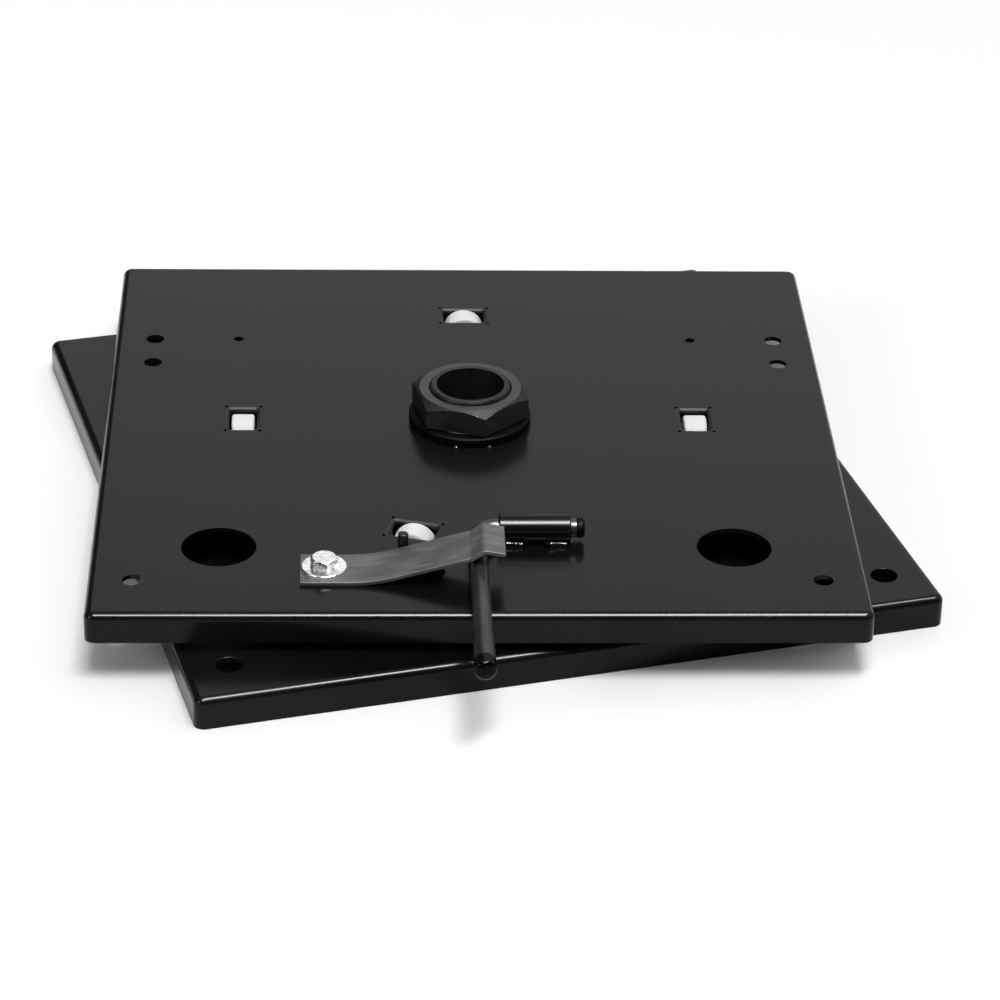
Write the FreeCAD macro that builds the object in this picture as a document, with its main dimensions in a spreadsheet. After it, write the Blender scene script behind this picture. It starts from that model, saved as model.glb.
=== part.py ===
# Swivel base for a camper's driver seat.
# Two pressed steel trays turn on a hollow threaded shaft. Four rollers under the upper tray run on the
# lower one, and a leaf spring carries the pin that locks them, lifted by a cranked handle at the front.
# Frame: millimetres, +Z up, X to the right, -Y to the front where the handle is. The origin is on the
# axis of the shaft, level with the top face of the upper tray.
import FreeCAD, Part
import math
import os
import re
import Sketcher
from FreeCAD import Vector

doc = FreeCAD.newDocument("SwivelSeatBase")

# Driving dimensions: alias, millimetres or degrees, what it is.
DIMENSIONS = [
    ("sheet_thickness", 2.5, "steel sheet of both trays"),
    ("bend_radius", 4.3, "outer radius of the bend from a tray's top to its skirt"),
    ("corner_radius", 5.5, "plan radius of a tray's corners"),
    ("tray_width", 410.5, "both trays, along X"),
    ("upper_front", 210.6, "pivot axis to the front skirt of the upper tray"),
    ("upper_back", 192.0, "pivot axis to the back skirt of the upper tray"),
    ("upper_height", 16.8, "upper tray, over its skirt"),
    ("lower_front", 213.0, "pivot axis to the front skirt of the lower tray"),
    ("lower_back", 196.0, "pivot axis to the back skirt of the lower tray"),
    ("lower_height", 18.0, "lower tray, over its skirt"),
    ("tray_step", 22.7, "top face of the upper tray down to that of the lower tray"),
    ("lower_turn", 14.3, "how far the lower tray stands turned from the upper one, degrees"),
    ("access_hole_radius", 20.0, "two large holes at the front of the upper tray"),
    ("access_hole_side", 137.4, "their distance from the middle"),
    ("access_hole_front", 141.9, "their distance in front of the pivot"),
    ("seat_rear_hole_radius", 5.2, "four seat bolt holes at the back"),
    ("seat_rear_hole_side", 181.9, "their distance from the middle"),
    ("seat_rear_hole_far", 96.6, "back pair behind the pivot"),
    ("seat_rear_hole_near", 67.4, "front pair behind the pivot"),
    ("seat_front_hole_radius", 5.3, "two seat bolt holes at the front"),
    ("seat_front_hole_side", 181.6, "their distance from the middle"),
    ("seat_front_hole_front", 175.7, "their distance in front of the pivot"),
    ("small_hole_radius", 2.9, "two small holes at the back"),
    ("small_hole_side", 132.9, "their distance from the middle"),
    ("small_hole_back", 97.0, "their distance behind the pivot"),
    ("floor_hole_radius", 7.2, "four bolt holes of the lower tray"),
    ("floor_hole_side", 180.9, "front pair, distance from the middle"),
    ("floor_hole_front", 183.5, "front pair, before the pivot"),
    ("floor_hole_back_side", 150.0, "back pair, distance from the middle"),
    ("floor_hole_back", 172.0, "back pair, behind the pivot"),
    ("ring_radius", 128.0, "circle that the rollers run on"),
    ("front_roller_turn", 15.2, "front roller moved round from the middle, degrees"),
    ("roller_diameter", 23.4, "nylon roller"),
    ("roller_width", 12.8, "nylon roller"),
    ("roller_edge", 1.0, "chamfer of the roller's rims"),
    ("roller_gap", 0.3, "roller to the lower tray"),
    ("window_radial", 15.5, "clear opening of a roller window, along the roller's axle"),
    ("window_tangent", 24.0, "clear opening of a roller window, across the axle"),
    ("window_corner", 1.2, "plan radius of a window's corners"),
    ("window_bend", 2.2, "rounding where the window's flaps turn down"),
    ("ear_drop", 17.0, "flaps that hold the axle, below the top face"),
    ("side_flap_drop", 7.0, "flaps before and behind the roller"),
    ("relief_radius", 1.1, "relief notch at each corner of a window"),
    ("axle_diameter", 6.0, "roller axle"),
    ("axle_head_diameter", 9.0, "its two heads, outside the flaps"),
    ("axle_head_thickness", 1.6, "its two heads"),
    ("running_gap", 0.05, "radial clearance of everything that turns on something"),
    ("shaft_diameter", 45.0, "hollow threaded pivot shaft"),
    ("shaft_bore", 38.2, "cable passage through the shaft"),
    ("shaft_rise", 22.6, "shaft end above the upper tray"),
    ("shaft_chamfer", 0.8, "at the shaft's upper end"),
    ("foot_weld", 6.0, "weld round the shaft on the lower tray"),
    ("foot_weld_face", 2.7, "middle of the weld's hollow face, out from the corner it fills"),
    ("nut_across_flats", 59.0, "pivot nut"),
    ("nut_height", 14.0, "pivot nut"),
    ("nut_chamfer_diameter", 57.6, "circle on the nut's top face"),
    ("nut_mouth_diameter", 47.2, "countersink of the nut's thread"),
    ("nut_turn", 43.0, "how the nut stands, degrees"),
    ("collar_diameter", 68.8, "ring welded on the upper tray under the nut"),
    ("collar_height", 5.5, "that ring"),
    ("collar_edge", 0.8, "its upper chamfer"),
    ("bush_wall", 1.5, "nylon bush round the shaft"),
    ("bush_flange_diameter", 56.0, "its flange between ring and nut"),
    ("bush_flange_thickness", 1.0, "that flange"),
    ("nut_gap", 0.2, "nut above the flange of the bush"),
    ("strip_thickness", 2.2, "leaf spring"),
    ("strip_width", 29.0, "leaf spring"),
    ("strip_end", 94.0, "its fixed end, left of the pivot axis"),
    ("strip_front", 167.5, "its middle line, in front of the pivot"),
    ("strip_bend_start", 56.0, "where its slope would start, left of the pivot axis"),
    ("strip_bend_radius", 90.0, "long bend of the leaf spring"),
    ("strip_rise", 14.9, "from its flat end to the step before the rod"),
    ("strip_step", 4.5, "where that step starts, left of the pivot axis"),
    ("strip_step_radius", 6.0, "bend at the foot of the step"),
    ("strip_crown_rise", 19.5, "top of the step above the flat end"),
    ("strip_crown", 2.0, "top of the step, right of the pivot axis"),
    ("strip_crown_radius", 4.0, "bend over the rod"),
    ("strip_tip", 13.5, "free end, right of the pivot axis"),
    ("strip_tip_rise", 17.4, "free end above the flat end"),
    ("bolt_diameter", 8.0, "bolt of the leaf spring"),
    ("bolt_side", 81.4, "bolt, left of the pivot axis"),
    ("bolt_hole_gap", 0.3, "radial clearance of the bolt's holes"),
    ("bolt_head_flats", 13.0, "hexagon head"),
    ("bolt_head_height", 5.3, "hexagon head"),
    ("bolt_chamfer_diameter", 12.2, "circle on the head's top face"),
    ("bolt_head_turn", 24.0, "how the head stands, degrees"),
    ("bolt_length", 16.0, "bolt below its head"),
    ("washer_diameter", 24.0, "large washer under the head"),
    ("washer_thickness", 2.0, "large washer under the head"),
    ("weld_nut_flats", 13.0, "nut under the tray"),
    ("weld_nut_height", 6.5, "nut under the tray"),
    ("weld_nut_chamfer_diameter", 12.2, "circle on that nut's top face"),
    ("lock_pin_diameter", 10.0, "pin under the leaf spring"),
    ("lock_pin_side", 24.0, "pin, left of the pivot axis"),
    ("lock_pin_gap", 0.3, "pin end above the lower tray"),
    ("lock_hole_gap", 1.4, "radial clearance of the pin's hole in the upper tray"),
    ("lock_seat_gap", 0.5, "radial clearance of the pin's holes in the lower tray"),
    ("stud_diameter", 5.6, "stud that keeps the leaf spring in line"),
    ("stud_height", 13.2, "that stud"),
    ("stud_edge", 0.8, "chamfer at its top"),
    ("stud_side", 39.7, "stud, left of the pivot axis"),
    ("stud_strip_gap", 0.7, "stud behind the leaf spring"),
    ("rod_diameter", 10.0, "handle rod"),
    ("rod_front", 134.0, "cross leg of the rod, in front of the pivot"),
    ("rod_bend_radius", 11.0, "centre line of the rod's bend"),
    ("rod_right_end", 57.4, "end of the cross leg, right of the pivot axis"),
    ("rod_head_diameter", 10.7, "upset head on that end"),
    ("rod_head_length", 4.2, "upset head"),
    ("rod_head_crown", 1.2, "chamfer on the head's outer end"),
    ("rod_head_edge", 0.6, "chamfer on its inner end"),
    ("rod_reach", 270.0, "front end of the rod, in front of the pivot"),
    ("grip_diameter", 11.6, "plastic cap on the rod"),
    ("grip_length", 39.0, "plastic cap"),
    ("grip_wall", 7.0, "plastic in front of the rod's end"),
    ("grip_dome", 4.6, "rounding of the cap's end"),
    ("sleeve_diameter", 15.0, "tube that holds the rod"),
    ("sleeve_left", 11.5, "its left end, right of the pivot axis"),
    ("sleeve_length", 38.5, "that tube"),
    ("sleeve_edge", 0.5, "chamfers at its ends"),
    ("bead_radius", 2.6, "weld beads along the sleeve"),
    ("bead_length", 9.0, "weld beads along the sleeve"),
    ("bead_inset", 3.0, "weld beads from the sleeve's ends"),
    ("bead_offset", 6.6, "middle line of a bead from the rod's axis"),
    ("bead_lift", 0.8, "middle line of a bead above the tray"),
    ("cutter_margin", 1.0, "how far a cutting shape runs past what it cuts"),
]


def write_sheet():
    sheet = doc.addObject("Spreadsheet::Sheet", "Sizes")
    for row, (alias, amount, note) in enumerate(DIMENSIONS, start=1):
        sheet.set("A%d" % row, alias)
        sheet.set("B%d" % row, str(amount))
        sheet.set("C%d" % row, note)
        sheet.setAlias("B%d" % row, alias)
    doc.recompute()
    return sheet


sizes = write_sheet()
SAME = 0.01  # Millimetres: within this, an edge counts as level, upright or at a given height.
ALIASES = {alias for alias, amount, note in DIMENSIONS}


def bound(text):
    """An expression on the sheet, from one written with bare aliases."""
    return re.sub(r"[a-z_]+", lambda word: "Sizes." + word.group() if word.group() in ALIASES
                  else word.group(), text)


def number(text):
    result = sizes.evalExpression(bound(text))
    return float(getattr(result, "Value", result))


def bind(feature, path, text):
    feature.setExpression(path, bound(text))


def place(feature, x="0", y="0", z="0", turn="0"):
    """Puts a feature at x, y, z, turned about Z by so many degrees."""
    bind(feature, "Placement.Base.x", x)
    bind(feature, "Placement.Base.y", y)
    bind(feature, "Placement.Base.z", z)
    bind(feature, "Placement.Rotation.Angle", turn)


def new_body(name):
    body = doc.addObject("PartDesign::Body", name)
    body.Label = name
    return body


def new_sketch(body, name, plane):
    sketch = body.newObject("Sketcher::SketchObject", name)
    support = [item for item in body.Origin.OriginFeatures if item.Role == plane][0]
    sketch.AttachmentSupport = [(support, "")]
    sketch.MapMode = "FlatFace"
    return sketch


def hold_point(sketch, geometry, point, x, y):
    """Holds a point of the sketch at x, y, both expressions on the sheet."""
    for kind, text in (("DistanceX", x), ("DistanceY", y)):
        index = sketch.addConstraint(Sketcher.Constraint(kind, -1, 1, geometry, point, number(text)))
        sketch.setExpression("Constraints[%d]" % index, bound(text))


def draw_outline(sketch, corners):
    """A closed outline of straight lines, each corner held by two dimensions."""
    points = [Vector(number(x), number(y), 0) for x, y in corners]
    for start, end in zip(points, points[1:] + points[:1]):
        sketch.addGeometry(Part.LineSegment(start, end), False)
    for index in range(len(points)):
        following = (index + 1) % len(points)
        sketch.addConstraint(Sketcher.Constraint("Coincident", index, 2, following, 1))
    for index, (x, y) in enumerate(corners):
        hold_point(sketch, index, 1, x, y)


def draw_circles(sketch, holes):
    """Circles given as x, y and radius."""
    for x, y, radius in holes:
        middle = Vector(number(x), number(y), 0)
        index = sketch.addGeometry(Part.Circle(middle, Vector(0, 0, 1), number(radius)), False)
        hold_point(sketch, index, 3, x, y)
        size = sketch.addConstraint(Sketcher.Constraint("Radius", index, number(radius)))
        sketch.setExpression("Constraints[%d]" % size, bound(radius))


def draw_path(sketch, corners, radii):
    """An open path of straight runs joined by tangent arcs."""
    start = corners[0]
    for before, corner, after, radius in zip(corners, corners[1:], corners[2:], radii):
        back = (before - corner).normalize()
        ahead = (after - corner).normalize()
        half = back.getAngle(ahead) / 2
        reach = radius / math.tan(half)
        enter, leave = corner + back * reach, corner + ahead * reach
        middle = corner + (back + ahead).normalize() * (radius / math.sin(half) - radius)
        sketch.addGeometry(Part.LineSegment(start, enter), False)
        sketch.addGeometry(Part.Arc(enter, middle, leave), False)
        start = leave
    sketch.addGeometry(Part.LineSegment(start, corners[-1]), False)


def turned(name, outline, axis="V_Axis"):
    """A piece turned about Z, or about X with H_Axis, from its half outline in the XZ plane."""
    body = new_body(name)
    sketch = new_sketch(body, name + "_profile", "XZ_Plane")
    draw_outline(sketch, outline)
    revolution = body.newObject("PartDesign::Revolution", name + "_turning")
    revolution.Profile = sketch
    revolution.ReferenceAxis = (sketch, [axis])
    revolution.Angle = 360
    doc.recompute()
    return body


def round_off(body, name, radius, choose, kind="PartDesign::Fillet"):
    """Rounds or chamfers the edges of the body's last feature that choose picks."""
    base = body.Tip
    picked = ["Edge%d" % (index + 1) for index, edge in enumerate(base.Shape.Edges) if choose(edge)]
    feature = body.newObject(kind, name)
    feature.Base = (base, picked)
    bind(feature, "Radius" if kind.endswith("Fillet") else "Size", radius)
    doc.recompute()
    return feature


def cut_holes(body, name, holes):
    """Holes through the top of a tray."""
    sketch = new_sketch(body, name, "XY_Plane")
    draw_circles(sketch, holes)
    pocket = body.newObject("PartDesign::Pocket", name + "_cut")
    pocket.Profile = sketch
    bind(pocket, "Length", "sheet_thickness * 2")
    doc.recompute()


def cylinder(name, radius, height, x="0", y="0", z="0", turn="0"):
    feature = doc.addObject("Part::Cylinder", name)
    bind(feature, "Radius", radius)
    bind(feature, "Height", height)
    place(feature, x, y, z, turn)
    return feature


def subtract(name, base, tools):
    """Base without the tools."""
    feature = doc.addObject("Part::Cut", name)
    feature.Base = base
    feature.Tool = tools[0] if len(tools) == 1 else join(name + "_tools", tools)
    doc.recompute()
    return feature


def join(name, parts):
    feature = doc.addObject("Part::MultiFuse", name)
    feature.Shapes = parts
    doc.recompute()
    return feature


def is_upright(edge):
    box = edge.BoundBox
    return box.XLength < SAME and box.YLength < SAME and box.ZLength > 1


def is_level_at(height):
    return lambda edge: abs(edge.BoundBox.ZMin - height) < SAME and abs(edge.BoundBox.ZMax - height) < SAME


def pressed_tray(name, front, back, height):
    """A tray pressed from one sheet: flat top, rounded bend and a skirt all round, open below."""
    body = new_body(name)
    outline = new_sketch(body, name + "_outline", "XY_Plane")
    half = "tray_width / 2"
    draw_outline(outline, [("-" + half, "-" + front), (half, "-" + front), (half, back), ("-" + half, back)])
    pad = body.newObject("PartDesign::Pad", name + "_block")
    pad.Profile = outline
    pad.Reversed = True
    bind(pad, "Length", height)
    doc.recompute()
    round_off(body, name + "_corners", "corner_radius", is_upright)
    round_off(body, name + "_bend", "bend_radius", is_level_at(0))
    base = body.Tip
    lowest = base.Shape.BoundBox.ZMin
    floor = [index for index, face in enumerate(base.Shape.Faces) if face.BoundBox.ZMax < lowest + SAME][0]
    hollow = body.newObject("PartDesign::Thickness", name + "_hollow")
    hollow.Base = (base, ["Face%d" % (floor + 1)])
    hollow.Reversed = True
    bind(hollow, "Value", "sheet_thickness")
    doc.recompute()
    return body


WINDOWS = [
    ("right", "0"),
    ("rear", "90"),
    ("left", "180"),
    ("front", "-90 - front_roller_turn"),
]


def turned_box(name, inner, outer, half_width, top, drop, turn):
    """A box between two radii, turned about the pivot axis."""
    feature = doc.addObject("Part::Box", name)
    bind(feature, "Length", "(%s) - (%s)" % (outer, inner))
    bind(feature, "Width", "(%s) * 2" % half_width)
    bind(feature, "Height", "(%s) - (%s)" % (top, drop))
    x = "cos(%s) * (%s) + sin(%s) * (%s)" % (turn, inner, turn, half_width)
    y = "sin(%s) * (%s) - cos(%s) * (%s)" % (turn, inner, turn, half_width)
    place(feature, x, y, drop, turn)
    return feature


AXLE_HEIGHT = "(roller_gap + roller_diameter / 2 - tray_step)"
INNER = "ring_radius - window_radial / 2"
OUTER = "ring_radius + window_radial / 2"


def roller(name, turn):
    """A nylon roller with chamfered rims, on an axle that points at the pivot."""
    half = "roller_width / 2"
    bore = "axle_diameter / 2 + running_gap"
    body = turned(name, [
        ("ring_radius - " + half, bore),
        ("ring_radius + " + half, bore),
        ("ring_radius + " + half, "roller_diameter / 2 - roller_edge"),
        ("ring_radius + " + half + " - roller_edge", "roller_diameter / 2"),
        ("ring_radius - " + half + " + roller_edge", "roller_diameter / 2"),
        ("ring_radius - " + half, "roller_diameter / 2 - roller_edge"),
    ], "H_Axis")
    place(body, z=AXLE_HEIGHT, turn=turn)
    return body


def axle(name, turn):
    """A steel pin through both flaps of a window, with a flat head outside each."""
    flap_in = INNER + " - sheet_thickness"
    flap_out = OUTER + " + sheet_thickness"
    shank, head = "axle_diameter / 2", "axle_head_diameter / 2"
    body = turned(name, [
        (flap_in + " - axle_head_thickness", "0"),
        (flap_out + " + axle_head_thickness", "0"),
        (flap_out + " + axle_head_thickness", head),
        (flap_out, head),
        (flap_out, shank),
        (flap_in, shank),
        (flap_in, head),
        (flap_in + " - axle_head_thickness", head),
    ], "H_Axis")
    place(body, z=AXLE_HEIGHT, turn=turn)
    return body


def window_flaps(side, turn):
    """The four flaps that are folded down round a window, as one ring each."""
    rim = "(window_tangent / 2 + sheet_thickness)"
    ears = turned_box("flaps_axle_" + side, INNER + " - sheet_thickness", OUTER + " + sheet_thickness",
                      "window_tangent / 2", "0", "-ear_drop", turn)
    sides = turned_box("flaps_side_" + side, INNER + " - sheet_thickness", OUTER + " + sheet_thickness",
                       rim, "0", "-side_flap_drop", turn)
    return [ears, sides]


def window_opening(side, turn):
    """The clear opening of a window, with small plan radii at its corners."""
    block = turned_box("window_block_" + side, INNER, OUTER, "window_tangent / 2", "cutter_margin",
                       "-ear_drop - cutter_margin", turn)
    doc.recompute()
    radius = number("window_corner")
    opening = doc.addObject("Part::Fillet", "window_" + side)
    opening.Base = block
    opening.Edges = [(index + 1, radius, radius) for index, edge in enumerate(block.Shape.Edges)
                     if is_upright(edge)]
    doc.recompute()
    return opening


def window_reliefs(side, turn):
    """A small round notch at each corner of a window, where the folds meet."""
    notches = []
    for corner, (along, across) in enumerate(((-1, -1), (-1, 1), (1, -1), (1, 1))):
        radial = "(ring_radius + %d * (window_radial / 2 + sheet_thickness - relief_radius / 2))" % along
        tangent = "(%d * (window_tangent / 2 + sheet_thickness - relief_radius / 2))" % across
        x = "cos(%s) * %s - sin(%s) * %s" % (turn, radial, turn, tangent)
        y = "sin(%s) * %s + cos(%s) * %s" % (turn, radial, turn, tangent)
        notches.append(cylinder("relief_%s_%d" % (side, corner), "relief_radius",
                                "ear_drop + cutter_margin * 2", x, y, "-ear_drop - cutter_margin"))
    return notches


def soften_windows(base):
    """Rounds the top edges of the four windows, where the sheet turns down."""
    radius = number("window_bend")
    middle_radius = number("ring_radius")
    reach = math.hypot(number("window_radial / 2"), number("window_tangent / 2")) + 0.1
    turns = [math.radians(number(turn)) for side, turn in WINDOWS]
    middles = [Vector(math.cos(turn), math.sin(turn), 0) * middle_radius for turn in turns]
    picked = []
    for index, edge in enumerate(base.Shape.Edges):
        centre = edge.BoundBox.Center
        near = min((centre - middle).Length for middle in middles)
        if is_level_at(0)(edge) and near < reach:
            picked.append((index + 1, radius, radius))
    feature = doc.addObject("Part::Fillet", "upper_softened")
    feature.Base = base
    feature.Edges = picked
    doc.recompute()
    return feature


def make_upper_plate(axles):
    tray = pressed_tray("upper_tray", "upper_front", "upper_back", "upper_height")
    holes = []
    for sign in ("-", ""):
        holes.append((sign + "access_hole_side", "-access_hole_front", "access_hole_radius"))
        holes.append((sign + "seat_rear_hole_side", "seat_rear_hole_far", "seat_rear_hole_radius"))
        holes.append((sign + "seat_rear_hole_side", "seat_rear_hole_near", "seat_rear_hole_radius"))
        holes.append((sign + "seat_front_hole_side", "-seat_front_hole_front", "seat_front_hole_radius"))
        holes.append((sign + "small_hole_side", "small_hole_back", "small_hole_radius"))
    holes.append(("0", "0", "shaft_diameter / 2 + running_gap + bush_wall"))
    holes.append(("-bolt_side", "-strip_front", "bolt_diameter / 2 + bolt_hole_gap"))
    holes.append(("-lock_pin_side", "-strip_front", "lock_pin_diameter / 2 + lock_hole_gap"))
    cut_holes(tray, "upper_holes", holes)
    flaps, openings, reliefs = [], [], []
    for side, turn in WINDOWS:
        flaps += window_flaps(side, turn)
        openings.append(window_opening(side, turn))
        reliefs += window_reliefs(side, turn)
    folded = join("upper_folded", [tray] + flaps)
    opened = subtract("upper_opened", folded, openings + axles)
    plate = subtract("upper_plate", soften_windows(opened), reliefs)
    plate.Label = "upper_plate"
    return plate


def make_lower_plate():
    body = pressed_tray("lower_plate", "lower_front", "lower_back", "lower_height")
    holes = [("0", "0", "shaft_diameter / 2")]
    for sign in ("-", ""):
        holes.append((sign + "floor_hole_side", "-floor_hole_front", "floor_hole_radius"))
        holes.append((sign + "floor_hole_back_side", "floor_hole_back", "floor_hole_radius"))
    seat_radius = "lock_pin_diameter / 2 + lock_seat_gap"
    holes.append(("-lock_pin_side", "-strip_front", seat_radius))
    holes.append(("lock_pin_side", "strip_front", seat_radius))
    cut_holes(body, "lower_holes", holes)
    place(body, z="-tray_step", turn="lower_turn")
    return body


def make_shaft():
    """The hollow shaft, welded into the lower tray, chamfered at its upper end."""
    inner, outer = "shaft_bore / 2", "shaft_diameter / 2"
    return turned("pivot_shaft", [
        (inner, "-tray_step - sheet_thickness"),
        (outer, "-tray_step - sheet_thickness"),
        (outer, "shaft_rise - shaft_chamfer"),
        (outer + " - shaft_chamfer", "shaft_rise"),
        (inner, "shaft_rise"),
    ])


def make_foot_weld():
    """The fillet weld round the foot of the shaft, on the lower tray."""
    outer = "shaft_diameter / 2"
    return turned("shaft_weld", [
        (outer, "-tray_step"),
        (outer + " + foot_weld", "-tray_step"),
        (outer + " + foot_weld_face", "-tray_step + foot_weld_face"),
        (outer, "-tray_step + foot_weld"),
    ])


def hexagon(body, name, plane, flats):
    sketch = new_sketch(body, name, plane)
    corner = "(%s) / sqrt(3)" % flats
    turns = ["(360 / 6 * %d)" % step for step in range(6)]
    draw_outline(sketch, [("cos(%s) * %s" % (turn, corner), "sin(%s) * %s" % (turn, corner)) for turn in turns])
    return sketch


def hex_piece(name, flats, height, chamfer_diameter, bore):
    """A hexagon with its upper corners turned off at 30 degrees, bored unless bore is None."""
    body = new_body(name + "_blank")
    pad = body.newObject("PartDesign::Pad", name + "_pad")
    pad.Profile = hexagon(body, name + "_hexagon", "XY_Plane", flats)
    bind(pad, "Length", height)
    doc.recompute()
    cone = doc.addObject("Part::Cone", name + "_cone")
    bind(cone, "Radius1", "(%s) / 2 + (%s) / tan(30)" % (chamfer_diameter, height))
    bind(cone, "Radius2", "(%s) / 2" % chamfer_diameter)
    bind(cone, "Height", height)
    common = doc.addObject("Part::MultiCommon", name + "_dressed")
    common.Shapes = [body, cone]
    doc.recompute()
    if bore is None:
        return common
    hole = cylinder(name + "_bore", bore, "(%s) + cutter_margin * 2" % height, z="-cutter_margin")
    return subtract(name + "_bored", common, [hole])


def make_pivot_nut():
    blank = hex_piece("pivot_nut", "nut_across_flats", "nut_height", "nut_chamfer_diameter",
                      "shaft_diameter / 2")
    mouth = doc.addObject("Part::Cone", "pivot_nut_mouth")
    depth = "(nut_mouth_diameter - shaft_diameter) / 2"
    bind(mouth, "Radius1", "shaft_diameter / 2")
    bind(mouth, "Radius2", "nut_mouth_diameter / 2")
    bind(mouth, "Height", depth)
    place(mouth, z="nut_height - " + depth)
    nut = subtract("pivot_nut", blank, [mouth])
    nut.Label = "pivot_nut"
    place(nut, z="collar_height + bush_flange_thickness + nut_gap", turn="nut_turn")
    return nut


BUSH_OUTER = "shaft_diameter / 2 + running_gap + bush_wall"


def make_collar():
    """The ring that is welded on the upper tray round the shaft."""
    outer = "collar_diameter / 2"
    return turned("pivot_collar", [
        (BUSH_OUTER, "0"),
        (outer, "0"),
        (outer, "collar_height - collar_edge"),
        (outer + " - collar_edge", "collar_height"),
        (BUSH_OUTER, "collar_height"),
    ])


def make_bush():
    """The flanged nylon bush between the shaft and the upper tray."""
    inner = "shaft_diameter / 2 + running_gap"
    return turned("pivot_bush", [
        (inner, "-sheet_thickness"),
        (BUSH_OUTER, "-sheet_thickness"),
        (BUSH_OUTER, "collar_height"),
        ("bush_flange_diameter / 2", "collar_height"),
        ("bush_flange_diameter / 2", "collar_height + bush_flange_thickness"),
        (inner, "collar_height + bush_flange_thickness"),
    ])


def make_strip():
    """The leaf spring: flat under its bolt, a long slope, then a step up and over the rod."""
    body = new_body("lock_strip")
    path = new_sketch(body, "strip_path", "XZ_Plane")
    left = number("strip_end")
    corners = [
        Vector(0, 0, 0),
        Vector(left - number("strip_bend_start"), 0, 0),
        Vector(left - number("strip_step"), number("strip_rise"), 0),
        Vector(left + number("strip_crown"), number("strip_crown_rise"), 0),
        Vector(left + number("strip_tip"), number("strip_tip_rise"), 0),
    ]
    radii = [number("strip_bend_radius"), number("strip_step_radius"), number("strip_crown_radius")]
    draw_path(path, corners, radii)
    section = new_sketch(body, "strip_section", "YZ_Plane")
    wide, thick = "strip_width / 2", "strip_thickness / 2"
    draw_outline(section, [("-" + wide, "-" + thick), (wide, "-" + thick), (wide, thick), ("-" + wide, thick)])
    doc.recompute()
    pipe = body.newObject("PartDesign::AdditivePipe", "strip_bending")
    pipe.Profile = section
    pipe.Spine = path
    doc.recompute()
    hole = new_sketch(body, "strip_hole", "XY_Plane")
    draw_circles(hole, [("strip_end - bolt_side", "0", "bolt_diameter / 2 + bolt_hole_gap")])
    pocket = body.newObject("PartDesign::Pocket", "strip_hole_cut")
    pocket.Profile = hole
    pocket.Midplane = True
    bind(pocket, "Length", "strip_thickness * 4")
    doc.recompute()
    place(body, "-strip_end", "-strip_front", "strip_thickness / 2")
    return body


def make_lock_pin(strip):
    """The pin under the leaf spring, ground to the slope that it is welded to."""
    slope = "(strip_rise / (strip_bend_start - strip_step))"
    top = "strip_thickness / 2 + %s * (strip_bend_start - lock_pin_side)" % slope
    foot = "(lock_pin_gap - tray_step)"
    blank = cylinder("lock_pin_blank", "lock_pin_diameter / 2", "%s - %s" % (top, foot),
                     "-lock_pin_side", "-strip_front", foot)
    ground = subtract("lock_pin_ground", blank, [strip])
    pin = doc.addObject("Part::Feature", "lock_pin")
    pin.Shape = max(ground.Shape.Solids, key=lambda solid: solid.Volume)
    pin.Label = "lock_pin"
    return pin


def make_bolt():
    top = "strip_thickness + washer_thickness"
    head = hex_piece("strip_bolt_head", "bolt_head_flats", "bolt_head_height", "bolt_chamfer_diameter", None)
    place(head, z="0", turn="0")
    shank = cylinder("strip_bolt_shank", "bolt_diameter / 2", "bolt_length", z="-bolt_length")
    bolt = join("strip_bolt", [head, shank])
    bolt.Label = "strip_bolt"
    place(bolt, "-bolt_side", "-strip_front", top, "bolt_head_turn")
    return bolt


def make_washer():
    inner = "bolt_diameter / 2 + bolt_hole_gap"
    washer = turned("strip_washer", [
        (inner, "0"),
        ("washer_diameter / 2", "0"),
        ("washer_diameter / 2", "washer_thickness"),
        (inner, "washer_thickness"),
    ])
    place(washer, "-bolt_side", "-strip_front", "strip_thickness")
    return washer


def make_weld_nut():
    nut = hex_piece("strip_nut_raw", "weld_nut_flats", "weld_nut_height", "weld_nut_chamfer_diameter",
                    "bolt_diameter / 2")
    nut.Label = "strip_nut"
    place(nut, "-bolt_side", "-strip_front", "-sheet_thickness - weld_nut_height")
    return nut


def make_stud():
    radius = "stud_diameter / 2"
    stud = turned("guide_stud", [
        ("0", "0"),
        (radius, "0"),
        (radius, "stud_height - stud_edge"),
        (radius + " - stud_edge", "stud_height"),
        ("0", "stud_height"),
    ])
    place(stud, "-stud_side", "-strip_front + strip_width / 2 + stud_strip_gap + stud_diameter / 2", "0")
    return stud


ROD_HEIGHT = "sleeve_diameter / 2"


def make_rod():
    """The cranked rod: a cross leg through the sleeve, a bend, and a leg to the front."""
    body = new_body("handle_rod_bar")
    path = new_sketch(body, "rod_path", "XY_Plane")
    across = number("rod_right_end")
    forward = number("rod_reach - rod_front")
    draw_path(path, [Vector(0, 0, 0), Vector(-across, 0, 0), Vector(-across, -forward, 0)],
              [number("rod_bend_radius")])
    section = new_sketch(body, "rod_section", "YZ_Plane")
    draw_circles(section, [("0", "0", "rod_diameter / 2")])
    doc.recompute()
    pipe = body.newObject("PartDesign::AdditivePipe", "rod_bending")
    pipe.Profile = section
    pipe.Spine = path
    doc.recompute()
    place(body, "rod_right_end", "-rod_front", ROD_HEIGHT)
    head = turned("handle_rod_head", [
        ("-rod_head_length", "0"),
        ("0", "0"),
        ("0", "rod_head_diameter / 2 - rod_head_crown"),
        ("-rod_head_crown", "rod_head_diameter / 2"),
        ("-rod_head_length + rod_head_edge", "rod_head_diameter / 2"),
        ("-rod_head_length", "rod_head_diameter / 2 - rod_head_edge"),
    ], "H_Axis")
    place(head, "rod_right_end", "-rod_front", ROD_HEIGHT)
    rod = join("handle_rod", [body, head])
    rod.Label = "handle_rod"
    return rod


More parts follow.
